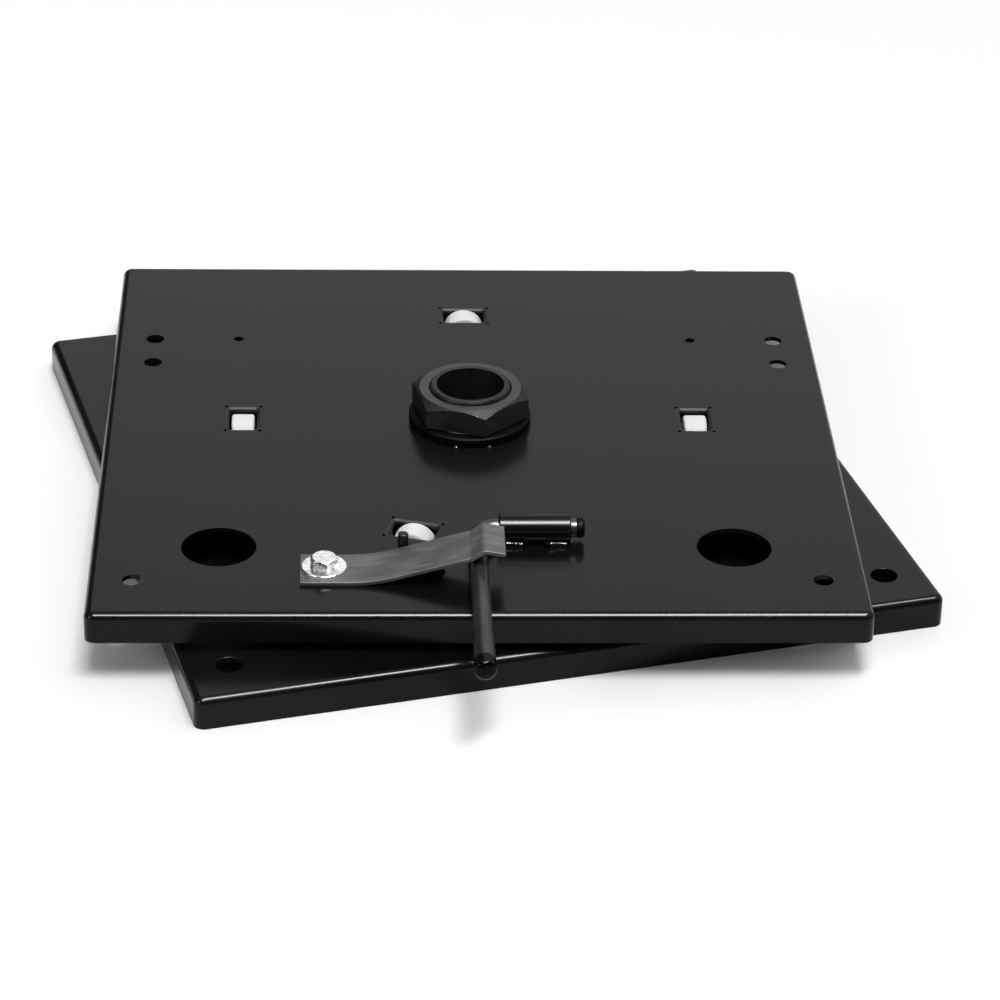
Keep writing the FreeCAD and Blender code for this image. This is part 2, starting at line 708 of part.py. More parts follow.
DOME_TURNS = (90, 60, 30, 0)  # The dome of the cap is turned in flats at these degrees.


def make_grip():
    """The plastic cap pushed over the front end of the rod."""
    end = "rod_reach + grip_wall"
    dome = [("%s - grip_dome * (1 - sin(%d))" % (end, turn), "grip_diameter / 2 - grip_dome * (1 - cos(%d))" % turn)
            for turn in DOME_TURNS]
    body = turned("handle_grip", [
        (end + " - grip_length", "rod_diameter / 2"),
        ("rod_reach", "rod_diameter / 2"),
        ("rod_reach", "0"),
        (end, "0"),
    ] + dome + [
        (end + " - grip_length", "grip_diameter / 2"),
    ], "H_Axis")
    place(body, z=ROD_HEIGHT, turn="-90")
    return body


def make_sleeve():
    bore = "rod_diameter / 2 + running_gap"
    sleeve = turned("handle_sleeve", [
        ("0", bore),
        ("sleeve_length", bore),
        ("sleeve_length", "sleeve_diameter / 2"),
        ("0", "sleeve_diameter / 2"),
    ], "H_Axis")
    round_off(sleeve, "sleeve_edges", "sleeve_edge",
              lambda edge: edge.BoundBox.ZMax > number("sleeve_diameter / 2") - SAME
              and edge.BoundBox.XLength < SAME, "PartDesign::Chamfer")
    place(sleeve, "sleeve_left", "-rod_front", ROD_HEIGHT)
    return sleeve


def make_beads(sleeve):
    """Two weld beads along each side of the sleeve, lying in the corner between it and the tray."""
    solids = []
    radius, length = number("bead_radius"), number("bead_length")
    offset, lift = number("bead_offset"), number("bead_lift")
    first = number("sleeve_left + bead_inset")
    last = number("sleeve_left + sleeve_length - bead_inset - bead_length")
    for side in (-1, 1):
        for start in (first, last):
            place_of_end = Vector(start, -number("rod_front") + side * offset, lift)
            along = Vector(1, 0, 0)
            bead = Part.makeCylinder(radius, length, place_of_end, along)
            bead = bead.fuse(Part.makeCone(radius, radius / 2, radius, place_of_end, -along))
            bead = bead.fuse(Part.makeCone(radius, radius / 2, radius, place_of_end + along * length, along))
            above = Part.makeBox(length + radius * 2, radius * 2, radius + lift,
                                 place_of_end - Vector(radius, radius, lift))
            bead = bead.common(above).cut(sleeve.Shape).removeSplitter()
            solids.append(max(bead.Solids, key=lambda solid: solid.Volume))
    beads = doc.addObject("Part::Feature", "sleeve_welds")
    beads.Shape = Part.makeCompound(solids)
    beads.Label = "sleeve_welds"
    return beads


def make_all():
    pieces = [make_lower_plate(), make_shaft(), make_foot_weld(), make_pivot_nut()]
    axles = [axle("axle_" + side, turn) for side, turn in WINDOWS]
    pieces += [roller("roller_" + side, turn) for side, turn in WINDOWS]
    pieces += axles
    pieces += [make_upper_plate(axles), make_collar(), make_bush()]
    strip = make_strip()
    pieces += [strip, make_lock_pin(strip), make_bolt(), make_washer(), make_weld_nut(), make_stud()]
    sleeve = make_sleeve()
    pieces += [make_rod(), make_grip(), sleeve, make_beads(sleeve)]
    doc.recompute()
    return pieces


def check(pieces):
    """Stops before anything is written if a feature failed or a piece is not a sound solid."""
    for feature in doc.Objects:
        if {"Invalid", "Error"} & set(feature.State):
            raise RuntimeError("%s did not build: %s" % (feature.Name, feature.State))
    for piece in pieces:
        shape = piece.Shape
        if shape.isNull() or not shape.isValid() or not shape.Solids:
            raise RuntimeError("%s has no valid solid" % piece.Label)
        print("%-14s solids %d volume %.1f" % (piece.Label, len(shape.Solids), shape.Volume))


def export(pieces):
    os.makedirs("parts", exist_ok=True)
    for piece in pieces:
        piece.Shape.exportStep(os.path.join("parts", piece.Label + ".step"))


pieces = make_all()
check(pieces)
export(pieces)
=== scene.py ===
# Swivel base for a camper's driver seat, seen from the front and above in a plain studio.
# Lengths are metres and angles degrees. +Z is up, -Y is the front, and the origin is on the pivot's
# axis, level with the top face of the upper tray.
import math
import random

import bmesh
import bpy
from mathutils import Matrix, Vector


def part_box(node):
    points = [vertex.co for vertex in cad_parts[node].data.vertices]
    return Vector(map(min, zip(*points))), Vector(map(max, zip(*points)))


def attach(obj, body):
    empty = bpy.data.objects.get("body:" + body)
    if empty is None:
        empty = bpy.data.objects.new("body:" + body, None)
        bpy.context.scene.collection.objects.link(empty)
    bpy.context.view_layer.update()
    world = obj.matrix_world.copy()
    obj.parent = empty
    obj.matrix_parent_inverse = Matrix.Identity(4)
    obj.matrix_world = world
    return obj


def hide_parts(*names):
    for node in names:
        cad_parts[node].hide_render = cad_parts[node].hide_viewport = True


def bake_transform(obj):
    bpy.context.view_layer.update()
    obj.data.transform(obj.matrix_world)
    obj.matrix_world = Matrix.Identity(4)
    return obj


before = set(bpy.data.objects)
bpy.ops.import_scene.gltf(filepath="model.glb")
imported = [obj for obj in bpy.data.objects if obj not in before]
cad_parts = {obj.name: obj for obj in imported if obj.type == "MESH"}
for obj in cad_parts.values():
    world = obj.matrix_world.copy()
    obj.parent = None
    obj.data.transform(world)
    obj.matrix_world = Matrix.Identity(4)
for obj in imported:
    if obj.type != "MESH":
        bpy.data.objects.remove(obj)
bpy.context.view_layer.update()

# Lower tray: one sheet of steel, pressed with a skirt all round and bolted to the vehicle.
# Powder coated glossy black. It stands turned under the upper tray, as when the seat is swung round.
sheet = 0.0025
bend_radius = 0.0043
corner_radius = 0.0055
tray_width = 0.4105
lower_front = 0.213
lower_back = 0.196
lower_height = 0.018
lower_turn = 14.3
lower_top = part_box("lower_plate")[1][2]
floor_hole_radius = 0.0072
front_floor_hole = (0.1809, -0.1835)
back_floor_hole = (0.150, 0.172)
lock_hole_radius = 0.0055
lock_hole_side = 0.024
lock_hole_front = 0.1675
shaft_hole_radius = 0.0225
coat_black = (0.004, 0.004, 0.0041, 1)
coat_roughness = (0.17, 0.24)
coat_specular = 0.14
lower_rounding = 0.0004


def new_material(name, roughness, specular=0.5, metallic=0.0):
    """A material with its shader's plain numbers set on the shader itself."""
    material = bpy.data.materials.new(name)
    material.use_nodes = True
    shader = material.node_tree.nodes["Principled BSDF"]
    shader.inputs["Roughness"].default_value = roughness
    shader.inputs["Specular IOR Level"].default_value = specular
    shader.inputs["Metallic"].default_value = metallic
    return material, shader


def add_noise(material, scale, detail, stretch=(1, 1, 1)):
    """A noise in the piece's own space, drawn out along an axis where stretch is under 1."""
    nodes, links = material.node_tree.nodes, material.node_tree.links
    coordinates = nodes.new("ShaderNodeTexCoord")
    mapping = nodes.new("ShaderNodeMapping")
    mapping.inputs["Scale"].default_value = stretch
    noise = nodes.new("ShaderNodeTexNoise")
    noise.inputs["Scale"].default_value = scale
    noise.inputs["Detail"].default_value = detail
    links.new(coordinates.outputs["Object"], mapping.inputs["Vector"])
    links.new(mapping.outputs["Vector"], noise.inputs["Vector"])
    return noise.outputs["Fac"]


def ramp(material, value, stops):
    """Turns a value into a colour by stops of place and colour."""
    nodes, links = material.node_tree.nodes, material.node_tree.links
    node = nodes.new("ShaderNodeValToRGB")
    elements = node.color_ramp.elements
    while len(elements) < len(stops):
        elements.new(0.5)
    for element, (place, colour) in zip(elements, stops):
        element.position = place
        element.color = colour
    links.new(value, node.inputs["Fac"])
    return node.outputs["Color"]


def grey(level):
    return (level, level, level, 1)


def shade_base(material, shader, value, dark, pale, start=0.3, end=0.7):
    """Runs the base colour from a dark grey to a paler one as the value goes from start to end."""
    shades = ramp(material, value, [(start, grey(dark)), (end, grey(pale))])
    material.node_tree.links.new(shades, shader.inputs["Base Color"])


def spread_value(material, value, start, end, low=0.0, high=1.0):
    """Runs a number from low to high as the value goes from start to end."""
    spread = material.node_tree.nodes.new("ShaderNodeMapRange")
    spread.inputs["From Min"].default_value = start
    spread.inputs["From Max"].default_value = end
    spread.inputs["To Min"].default_value = low
    spread.inputs["To Max"].default_value = high
    material.node_tree.links.new(value, spread.inputs["Value"])
    return spread.outputs["Result"]


def vary_roughness(material, shader, value, low, high):
    """Lets the roughness run between low and high with a noise."""
    material.node_tree.links.new(spread_value(material, value, 0.3, 0.7, low, high),
                                 shader.inputs["Roughness"])


def add_bump(material, shader, value, depth, strength=1.0):
    """Raises the surface by up to depth metres where the value is high."""
    nodes, links = material.node_tree.nodes, material.node_tree.links
    bump = nodes.new("ShaderNodeBump")
    bump.inputs["Distance"].default_value = depth
    bump.inputs["Strength"].default_value = strength
    links.new(value, bump.inputs["Height"])
    links.new(bump.outputs["Normal"], shader.inputs["Normal"])


def coat_material(name):
    """Glossy black powder coat: nearly even, with a faint orange peel and soft cloudiness."""
    material, shader = new_material(name, coat_roughness[0], coat_specular)
    clouds = add_noise(material, scale=9, detail=4)
    shade_base(material, shader, clouds, coat_black[0] * 0.75, coat_black[0] * 1.5)
    vary_roughness(material, shader, clouds, *coat_roughness)
    peel = add_noise(material, scale=650, detail=2)
    add_bump(material, shader, peel, depth=0.00002, strength=0.35)
    return material


def tray_block(front, back, height):
    """The outer skin of a tray, its top at zero: rounded corners, rounded bend, open below."""
    mesh = bmesh.new()
    bmesh.ops.create_cube(mesh, size=1)
    bmesh.ops.scale(mesh, vec=(tray_width, front + back, height), verts=mesh.verts)
    bmesh.ops.translate(mesh, vec=(0, (back - front) / 2, -height / 2), verts=mesh.verts)
    upright = [edge for edge in mesh.edges
               if abs(edge.verts[0].co.z - edge.verts[1].co.z) > height / 2]
    bmesh.ops.bevel(mesh, geom=upright, offset=corner_radius, affect="EDGES", segments=12, profile=0.5,
                    material=-1)
    rim = [edge for edge in mesh.edges if all(vert.co.z > -sheet for vert in edge.verts)]
    bmesh.ops.bevel(mesh, geom=rim, offset=bend_radius, affect="EDGES", segments=12, profile=0.5,
                    material=-1)
    underside = [face for face in mesh.faces if face.calc_center_median().z < -height * 0.99]
    bmesh.ops.delete(mesh, geom=underside, context="FACES")
    return mesh


def add_plug(mesh, x, y, radius, segments=72):
    """A round plug through the sheet, to cut a hole with."""
    bmesh.ops.create_cone(mesh, cap_ends=True, segments=segments, radius1=radius, radius2=radius,
                          depth=sheet * 4, matrix=Matrix.Translation((x, y, -sheet / 2)))


def new_piece(name, mesh, material):
    """An object at the origin from a finished bmesh."""
    data = bpy.data.meshes.new(name)
    mesh.to_mesh(data)
    mesh.free()
    piece = bpy.data.objects.new(name, data)
    bpy.context.collection.objects.link(piece)
    data.materials.append(material)
    return piece


def bake_modifiers(piece):
    """Makes what the modifiers show the piece's own mesh."""
    bpy.context.view_layer.update()
    shaped = piece.evaluated_get(bpy.context.evaluated_depsgraph_get())
    piece.data = bpy.data.meshes.new_from_object(shaped)
    piece.modifiers.clear()


def carve(piece, tool_mesh, operation="DIFFERENCE"):
    """Cuts the piece with a mesh, or keeps only what lies inside it with INTERSECT."""
    tool = new_piece("tool", tool_mesh, piece.data.materials[0])
    boolean = piece.modifiers.new("carving", "BOOLEAN")
    boolean.object = tool
    boolean.operation = operation
    boolean.solver = "EXACT"
    bake_modifiers(piece)
    bpy.data.objects.remove(tool)


def thicken(piece, thickness):
    """Gives a sheet its thickness, inwards from the modelled face."""
    solidify = piece.modifiers.new("thickness", "SOLIDIFY")
    solidify.thickness = thickness
    solidify.offset = -1
    bake_modifiers(piece)


def finish_edges(piece, width, angle=40, edge_material=None):
    """Breaks sharp edges a little and evens the shading of the flats beside them.

    The broken edges take a second material, where one is given."""
    bevel = piece.modifiers.new("edges", "BEVEL")
    if edge_material:
        piece.data.materials.append(edge_material)
        bevel.material = 1
    bevel.width = width
    bevel.segments = 2
    bevel.limit_method = "ANGLE"
    bevel.angle_limit = math.radians(angle)
    bevel.miter_outer = "MITER_ARC"
    bake_modifiers(piece)
    for polygon in piece.data.polygons:
        polygon.use_smooth = True
    piece.data.set_sharp_from_angle(angle=math.radians(60))
    even = piece.modifiers.new("shading", "WEIGHTED_NORMAL")
    even.keep_sharp = True
    even.weight = 100
    bake_modifiers(piece)


black_coat = coat_material("black_coat")
lower_tray = new_piece("lower_tray", tray_block(lower_front, lower_back, lower_height), black_coat)
thicken(lower_tray, sheet)
plugs = bmesh.new()
for side in (-1, 1):
    add_plug(plugs, side * front_floor_hole[0], front_floor_hole[1], floor_hole_radius)
    add_plug(plugs, side * back_floor_hole[0], back_floor_hole[1], floor_hole_radius)
    add_plug(plugs, side * lock_hole_side, side * lock_hole_front, lock_hole_radius)
add_plug(plugs, 0, 0, shaft_hole_radius)
carve(lower_tray, plugs)
finish_edges(lower_tray, lower_rounding)
lower_place = Matrix.Translation((0, 0, lower_top)) @ Matrix.Rotation(math.radians(lower_turn), 4, "Z")
lower_tray.data.transform(lower_place)
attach(lower_tray, "base")
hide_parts("lower_plate")

# Upper tray: pressed and coated like the lower one, with the seat bolted on it. Four windows for the
# rollers have their flaps folded down and a relief notch at each corner. Their rounded rims are
# painted a paler grey, a painted highlight along the bends.
# Two large holes let a socket reach the bolts below, and small ones take the seat's bolts.
upper_front = -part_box("upper_plate")[0][1]
upper_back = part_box("upper_plate")[1][1]
upper_height = -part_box("upper_plate")[0][2]
access_hole = (0.1374, -0.1419, 0.020)
seat_holes = [(0.1819, 0.0966, 0.0052), (0.1819, 0.0674, 0.0052), (0.1816, -0.1757, 0.0053)]
small_hole = (0.1329, 0.0970, 0.0029)
pivot_hole_radius = 0.0242
pin_hole_radius = 0.0064
ring_radius = 0.128
window_turns = {"right": 0, "rear": 90, "left": 180, "front": -105.2}
window_radial = 0.0155
window_tangent = 0.024
window_bend = 0.0022
window_corner = 0.0012
rim_slack = 0.0004
level_slack = 0.00001
plug_low, plug_high = -0.006, 0.004
relief_radius = 0.0011
upper_rounding = 0.0003
rim_highlight_grey = 0.014


def box_mesh(mesh, low, high, turn=0.0):
    """A box between two corners, turned about the pivot's axis."""
    middle = [(first + last) / 2 for first, last in zip(low, high)]
    spans = [last - first for first, last in zip(low, high)]
    place = (Matrix.Rotation(math.radians(turn), 4, "Z") @ Matrix.Translation(middle)
             @ Matrix.Diagonal((*spans, 1)))
    return bmesh.ops.create_cube(mesh, size=1, matrix=place)["verts"]


def window_plug(mesh, turn):
    """The clear opening of a window, its corners slightly rounded."""
    inner, outer = ring_radius - window_radial / 2, ring_radius + window_radial / 2
    corners = box_mesh(mesh, (inner, -window_tangent / 2, plug_low),
                       (outer, window_tangent / 2, plug_high), turn)
    upright = [edge for edge in mesh.edges
               if edge.verts[0] in corners and abs(edge.verts[0].co.z - edge.verts[1].co.z) > sheet]
    bmesh.ops.bevel(mesh, geom=upright, offset=window_corner, affect="EDGES", segments=4, profile=0.5,
                    material=-1)


def near_window(point, reach):
    """Whether a point lies within reach of a window's middle."""
    for turn in window_turns.values():
        middle = Vector((math.cos(math.radians(turn)), math.sin(math.radians(turn)), 0)) * ring_radius
        if (Vector((point.x, point.y, 0)) - middle).length < reach:
            return True
    return False


def round_windows(piece):
    """Rounds the rim of each window, where the sheet turns down, in the piece's second material."""
    mesh = bmesh.new()
    mesh.from_mesh(piece.data)
    reach = math.hypot(window_radial, window_tangent) / 2 + rim_slack
    rims = [edge for edge in mesh.edges
            if all(abs(vert.co.z) < level_slack and near_window(vert.co, reach) for vert in edge.verts)
            and len(edge.link_faces) == 2
            and edge.link_faces[0].normal.angle(edge.link_faces[1].normal) > math.radians(60)]
    rounded = bmesh.ops.bevel(mesh, geom=rims, offset=window_bend, affect="EDGES", segments=6,
                              profile=0.5, material=-1)
    for face in rounded["faces"]:
        face.material_index = 1
    mesh.to_mesh(piece.data)
    mesh.free()


# Paler grey for the window rims: a painted highlight where the bends catch the light.
rim_highlight_coat, rim_highlight_shader = new_material("rim_highlight_coat", roughness=0.5, specular=0.2)
rim_highlight_clouds = add_noise(rim_highlight_coat, scale=300, detail=4)
shade_base(rim_highlight_coat, rim_highlight_shader, rim_highlight_clouds, rim_highlight_grey * 0.6, rim_highlight_grey * 1.5)
upper_tray = new_piece("upper_tray", tray_block(upper_front, upper_back, upper_height), black_coat)
thicken(upper_tray, sheet)
plugs = bmesh.new()
for side in (-1, 1):
    for x, y, radius in seat_holes + [access_hole, small_hole]:
        add_plug(plugs, side * x, y, radius)
add_plug(plugs, 0, 0, pivot_hole_radius)
add_plug(plugs, -lock_hole_side, -lock_hole_front, pin_hole_radius)
for turn in window_turns.values():
    window_plug(plugs, turn)
carve(upper_tray, plugs)
upper_tray.data.materials.append(rim_highlight_coat)
round_windows(upper_tray)
notches = bmesh.new()
for turn in window_turns.values():
    for along in (-1, 1):
        for across in (-1, 1):
            radial = ring_radius + along * (window_radial / 2 + sheet - relief_radius / 2)
            tangent = across * (window_tangent / 2 + sheet - relief_radius / 2)
            spot = Matrix.Rotation(math.radians(turn), 3, "Z") @ Vector((radial, tangent, 0))
            add_plug(notches, spot.x, spot.y, relief_radius, segments=16)
carve(upper_tray, notches)
finish_edges(upper_tray, upper_rounding, angle=55)
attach(upper_tray, "top")
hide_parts("upper_plate")

# Window flaps: the four tongues of the upper tray's sheet that are folded down round each window.
# The two that face the pivot and the skirt are long, because they carry the roller's axle.
ear_drop = 0.017
side_flap_drop = 0.007
flap_rounding = 0.0002
flaps_mesh = bmesh.new()
window_inner = ring_radius - window_radial / 2
window_outer = ring_radius + window_radial / 2
for turn in window_turns.values():
    for start, end in ((window_inner - sheet, window_inner), (window_outer, window_outer + sheet)):
        box_mesh(flaps_mesh, (start, -window_tangent / 2, -ear_drop),
                 (end, window_tangent / 2, -sheet), turn)
    for side in (-1, 1):
        edges = sorted((side * window_tangent / 2, side * (window_tangent / 2 + sheet)))
        box_mesh(flaps_mesh, (window_inner - sheet, edges[0], -side_flap_drop),
                 (window_outer + sheet, edges[1], -sheet), turn)
window_flaps = new_piece("window_flaps", flaps_mesh, black_coat)
finish_edges(window_flaps, flap_rounding)
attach(window_flaps, "top")

# Rollers: turned from white nylon, with rounded rims and a faint mottle. Each spins on a steel pin
# and rolls on the lower tray.
roller_radius = 0.0117
roller_width = 0.0128
roller_bore = 0.00305
roller_rim = 0.0016
roller_rounding = 0.0002
axle_height = -0.0107
nylon_white = (0.80, 0.80, 0.79, 1)


def arc_points(middle, radius, start, end, steps):
    """Points round an arc in the XZ plane, from start to end in degrees."""
    turns = [math.radians(start + (end - start) * step / steps) for step in range(steps + 1)]
    return [Vector((middle[0] + radius * math.cos(turn), 0, middle[1] + radius * math.sin(turn)))
            for turn in turns]


def lathe(points, steps=96, closed=True):
    """A piece turned about Z from the points of its half section, given as x and z."""
    mesh = bmesh.new()
    verts = [mesh.verts.new((point[0], 0, point[-1])) for point in points]
    edges = [mesh.edges.new(pair) for pair in zip(verts, verts[1:])]
    if closed:
        edges.append(mesh.edges.new((verts[-1], verts[0])))
    bmesh.ops.spin(mesh, geom=verts + edges, cent=(0, 0, 0), axis=(0, 0, 1), angle=math.tau,
                   steps=steps, use_merge=True)
    bmesh.ops.remove_doubles(mesh, verts=mesh.verts, dist=1e-6)
    bmesh.ops.recalc_face_normals(mesh, faces=mesh.faces)
    return mesh


def nylon_material():
    """White nylon with a faint mottle in its colour, gloss and surface."""
    material, shader = new_material("white_nylon", roughness=0.55, specular=0.12)
    mottle = add_noise(material, scale=260, detail=2)
    shades = ramp(material, mottle, [(0.3, grey(nylon_white[0] * 0.93)), (0.7, nylon_white)])
    material.node_tree.links.new(shades, shader.inputs["Base Color"])
    vary_roughness(material, shader, mottle, 0.5, 0.62)
    add_bump(material, shader, mottle, depth=0.00003, strength=0.4)
    return material


white_nylon = nylon_material()
half_width = roller_width / 2
rim_middle = roller_radius - roller_rim
roller_section = [Vector((roller_bore, 0, -half_width))]
roller_section += arc_points((rim_middle, -half_width + roller_rim), roller_rim, -90, 0, 8)
roller_section += arc_points((rim_middle, half_width - roller_rim), roller_rim, 0, 90, 8)
roller_section += [Vector((roller_bore, 0, half_width))]
for side, turn in window_turns.items():
    roller_mesh = lathe(roller_section)
    place = (Matrix.Rotation(math.radians(turn), 4, "Z")
             @ Matrix.Translation((ring_radius, 0, axle_height))
             @ Matrix.Rotation(math.radians(90), 4, "Y"))
    bmesh.ops.transform(roller_mesh, matrix=place, verts=roller_mesh.verts)
    roller = new_piece("nylon_roller_" + side, roller_mesh, white_nylon)
    finish_edges(roller, roller_rounding)
    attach(roller, "roller_" + side)
    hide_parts("roller_" + side)

# Pivot shaft: a steel tube with a fine thread outside, welded into the lower tray.
# Seat cables come up through its bore. Only its end shows, inside the nut.
shaft_radius = 0.0225
shaft_bore = 0.0191
shaft_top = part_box("pivot_shaft")[1][2]
shaft_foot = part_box("pivot_shaft")[0][2]
shaft_chamfer = 0.0008
shaft_rounding = 0.00015
thread_pitch = 0.0015
thread_depth = 0.0006
thread_start = 0.0062
steel_black = 0.006


def blackened_material(name, level, roughness, specular=0.5, metallic=0.0):
    """Dark coated steel, cloudy, with fine rubbed marks that catch the light."""
    material, shader = new_material(name, roughness[0], specular, metallic)
    clouds = add_noise(material, scale=60, detail=5)
    marks = add_noise(material, scale=140, detail=4)
    grain = add_noise(material, scale=900, detail=3)
    shade_base(material, shader, clouds, level * 0.6, level * 1.6, start=0.35)
    vary_roughness(material, shader, marks, *roughness)
    add_bump(material, shader, grain, depth=0.00003, strength=0.5)
    return material


black_steel = blackened_material("blackened_steel", steel_black, (0.34, 0.5), specular=0.25)
shaft_section = [Vector((shaft_bore, 0, shaft_foot)), Vector((shaft_radius, 0, shaft_foot)),
                 Vector((shaft_radius, 0, thread_start))]
thread_turns = int((shaft_top - shaft_chamfer - thread_start) / thread_pitch)
for step in range(thread_turns):
    foot = thread_start + step * thread_pitch
    shaft_section.append(Vector((shaft_radius - thread_depth, 0, foot + thread_pitch / 2)))
    shaft_section.append(Vector((shaft_radius, 0, foot + thread_pitch)))
shaft_section.append(Vector((shaft_radius - shaft_chamfer, 0, shaft_top)))
shaft_section.append(Vector((shaft_bore, 0, shaft_top)))
shaft = new_piece("hollow_shaft", lathe(shaft_section, 128), black_steel)
finish_edges(shaft, shaft_rounding)
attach(shaft, "base")
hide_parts("pivot_shaft")

# Pivot nut: a large hexagon nut of blackened steel that holds the trays together.
# Its corners are turned off at 30 degrees and duller there, the thread's mouth is countersunk, and
# its broken edges are painted pale grey, a painted highlight.
nut_flats = 0.059
nut_turn = 43
nut_low, nut_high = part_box("pivot_nut")[0][2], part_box("pivot_nut")[1][2]
nut_face_radius = 0.0286
nut_mouth_radius = 0.0236
nut_rounding = 0.00045
chamfer_angle = 30
chamfer_rise = (0.8, 0.95)
cone_spare = 0.001
cut_spare = 0.002
nut_black = 0.005
edge_highlight_grey = 0.4


def hexagon_mesh(flats, low, high):
    """A hexagonal bar between two heights, with a corner on +X."""
    mesh = bmesh.new()
    place = Matrix.Translation((0, 0, (low + high) / 2)) @ Matrix.Rotation(math.radians(30), 4, "Z")
    bmesh.ops.create_cone(mesh, cap_ends=True, segments=6, radius1=flats / math.sqrt(3),
                          radius2=flats / math.sqrt(3), depth=high - low, matrix=place)
    corner = max(mesh.verts, key=lambda vert: vert.co.x).co
    turn_back = Matrix.Rotation(-math.atan2(corner.y, corner.x), 3, "Z")
    bmesh.ops.rotate(mesh, verts=mesh.verts, matrix=turn_back)
    return mesh


def chamfer_cone(face_radius, low, high):
    """The cone that a hexagon's upper corners are turned to."""
    mesh = bmesh.new()
    depth = high - low + cone_spare
    foot_radius = face_radius + depth / math.tan(math.radians(chamfer_angle))
    bmesh.ops.create_cone(mesh, cap_ends=True, segments=128, radius2=face_radius, radius1=foot_radius,
                          depth=depth, matrix=Matrix.Translation((0, 0, high - depth / 2)))
    return mesh


nut_steel = blackened_material("nut_steel", nut_black, (0.34, 0.46), specular=0.6)
# Pale grey for the nut's broken edges: a painted highlight along them.
edge_highlight_steel = blackened_material("edge_highlight_steel", edge_highlight_grey, (0.3, 0.45), metallic=0.6)
turned_steel = blackened_material("turned_steel", nut_black, (0.5, 0.6), specular=0.16)
nut = new_piece("swivel_nut", hexagon_mesh(nut_flats, nut_low, nut_high), nut_steel)
carve(nut, chamfer_cone(nut_face_radius, nut_low, nut_high), "INTERSECT")
mouth_depth = nut_mouth_radius - shaft_radius
mouth_section = [(0, nut_low - cut_spare), (shaft_radius, nut_low - cut_spare),
                 (shaft_radius, nut_high - mouth_depth), (nut_mouth_radius, nut_high),
                 (nut_mouth_radius, nut_high + cut_spare), (0, nut_high + cut_spare)]
carve(nut, lathe(mouth_section, 128, closed=False))
finish_edges(nut, nut_rounding, angle=25, edge_material=edge_highlight_steel)
nut.data.materials.append(turned_steel)
for polygon in nut.data.polygons:
    if polygon.material_index == 0 and chamfer_rise[0] < polygon.normal.z < chamfer_rise[1]:
        polygon.material_index = 2
nut.data.transform(Matrix.Rotation(math.radians(nut_turn), 4, "Z"))
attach(nut, "base")
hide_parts("pivot_nut")

# Pivot ring: a turned steel ring welded on the upper tray under the nut. Its black coat is duller
# than the tray's and painted blacker, a painted shade under the nut, and the upper edge is chamfered.
collar_radius = 0.0344
collar_bore = 0.02405
collar_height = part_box("pivot_collar")[1][2]
collar_edge = 0.0008
collar_rounding = 0.0002
ring_shade_black = 0.001
# Blacker than the tray's coat: painted shade under the nut.
ring_shade_coat = blackened_material("ring_shade_coat", ring_shade_black, (0.45, 0.6), specular=0.05)
collar_section = [(collar_bore, 0), (collar_radius, 0), (collar_radius, collar_height - collar_edge),
                  (collar_radius - collar_edge, collar_height), (collar_bore, collar_height)]
collar = new_piece("pivot_ring", lathe(collar_section, 128), ring_shade_coat)
finish_edges(collar, collar_rounding)
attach(collar, "top")
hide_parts("pivot_collar")

# Ring tacks: two small drops of weld at the foot of the ring's front, uneven and glossier than the
# coat round them.
tack_places = [(-0.0086, -0.0345), (0.0101, -0.0339)]
tack_radius = 0.0012
tack_grey = 0.02
tacks_mesh = bmesh.new()
for x, y in tack_places:
    bmesh.ops.create_icosphere(tacks_mesh, subdivisions=3, radius=tack_radius,
                               matrix=Matrix.Translation((x, y, tack_radius / 2)))
tack_coat, tack_shader = new_material("tack_coat", roughness=0.15)
tack_shader.inputs["Base Color"].default_value = grey(tack_grey)
tack_grain = add_noise(tack_coat, scale=1200, detail=2)
add_bump(tack_coat, tack_shader, tack_grain, depth=0.0002, strength=0.5)
tacks = new_piece("ring_tacks", tacks_mesh, tack_coat)
for polygon in tacks.data.polygons:
    polygon.use_smooth = True
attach(tacks, "top")

# Leaf spring: a strip of dark spring steel, flat under its bolt, bent up in a long slope and over
# the handle's rod. Its face is rubbed bright in streaks.
strip_thick = 0.0022
strip_width = 0.029
strip_left = -0.094
strip_front = -0.1675
strip_corners = [(strip_left, 0), (-0.056, 0), (-0.0045, 0.0149), (0.002, 0.0195), (0.0135, 0.0174)]
strip_radii = [0.090, 0.006, 0.004]
strip_rounding = 0.0003
flat_steps = 12
spring_grey = 0.105
patch_share = 0.45


def rounded_path(corners, radii, step_angle=2.5):
    """Points in the XZ plane along straight runs joined by tangent arcs."""
    points = [Vector((corners[0][0], 0, corners[0][1]))]
    for before, corner, after, radius in zip(corners, corners[1:], corners[2:], radii):
        here = Vector((corner[0], 0, corner[1]))
        back = (Vector((before[0], 0, before[1])) - here).normalized()
        ahead = (Vector((after[0], 0, after[1])) - here).normalized()
        half = back.angle(ahead) / 2
        middle = here + (back + ahead).normalized() * (radius / math.sin(half))
        enter = here + back * (radius / math.tan(half)) - middle
        leave = here + ahead * (radius / math.tan(half)) - middle
        steps = max(3, int(math.degrees(math.pi - 2 * half) / step_angle))
        for step in range(steps + 1):
            spoke = enter.slerp(leave, step / steps)
            points.append(middle + spoke * radius / spoke.length)
    points.append(Vector((corners[-1][0], 0, corners[-1][1])))
    return points


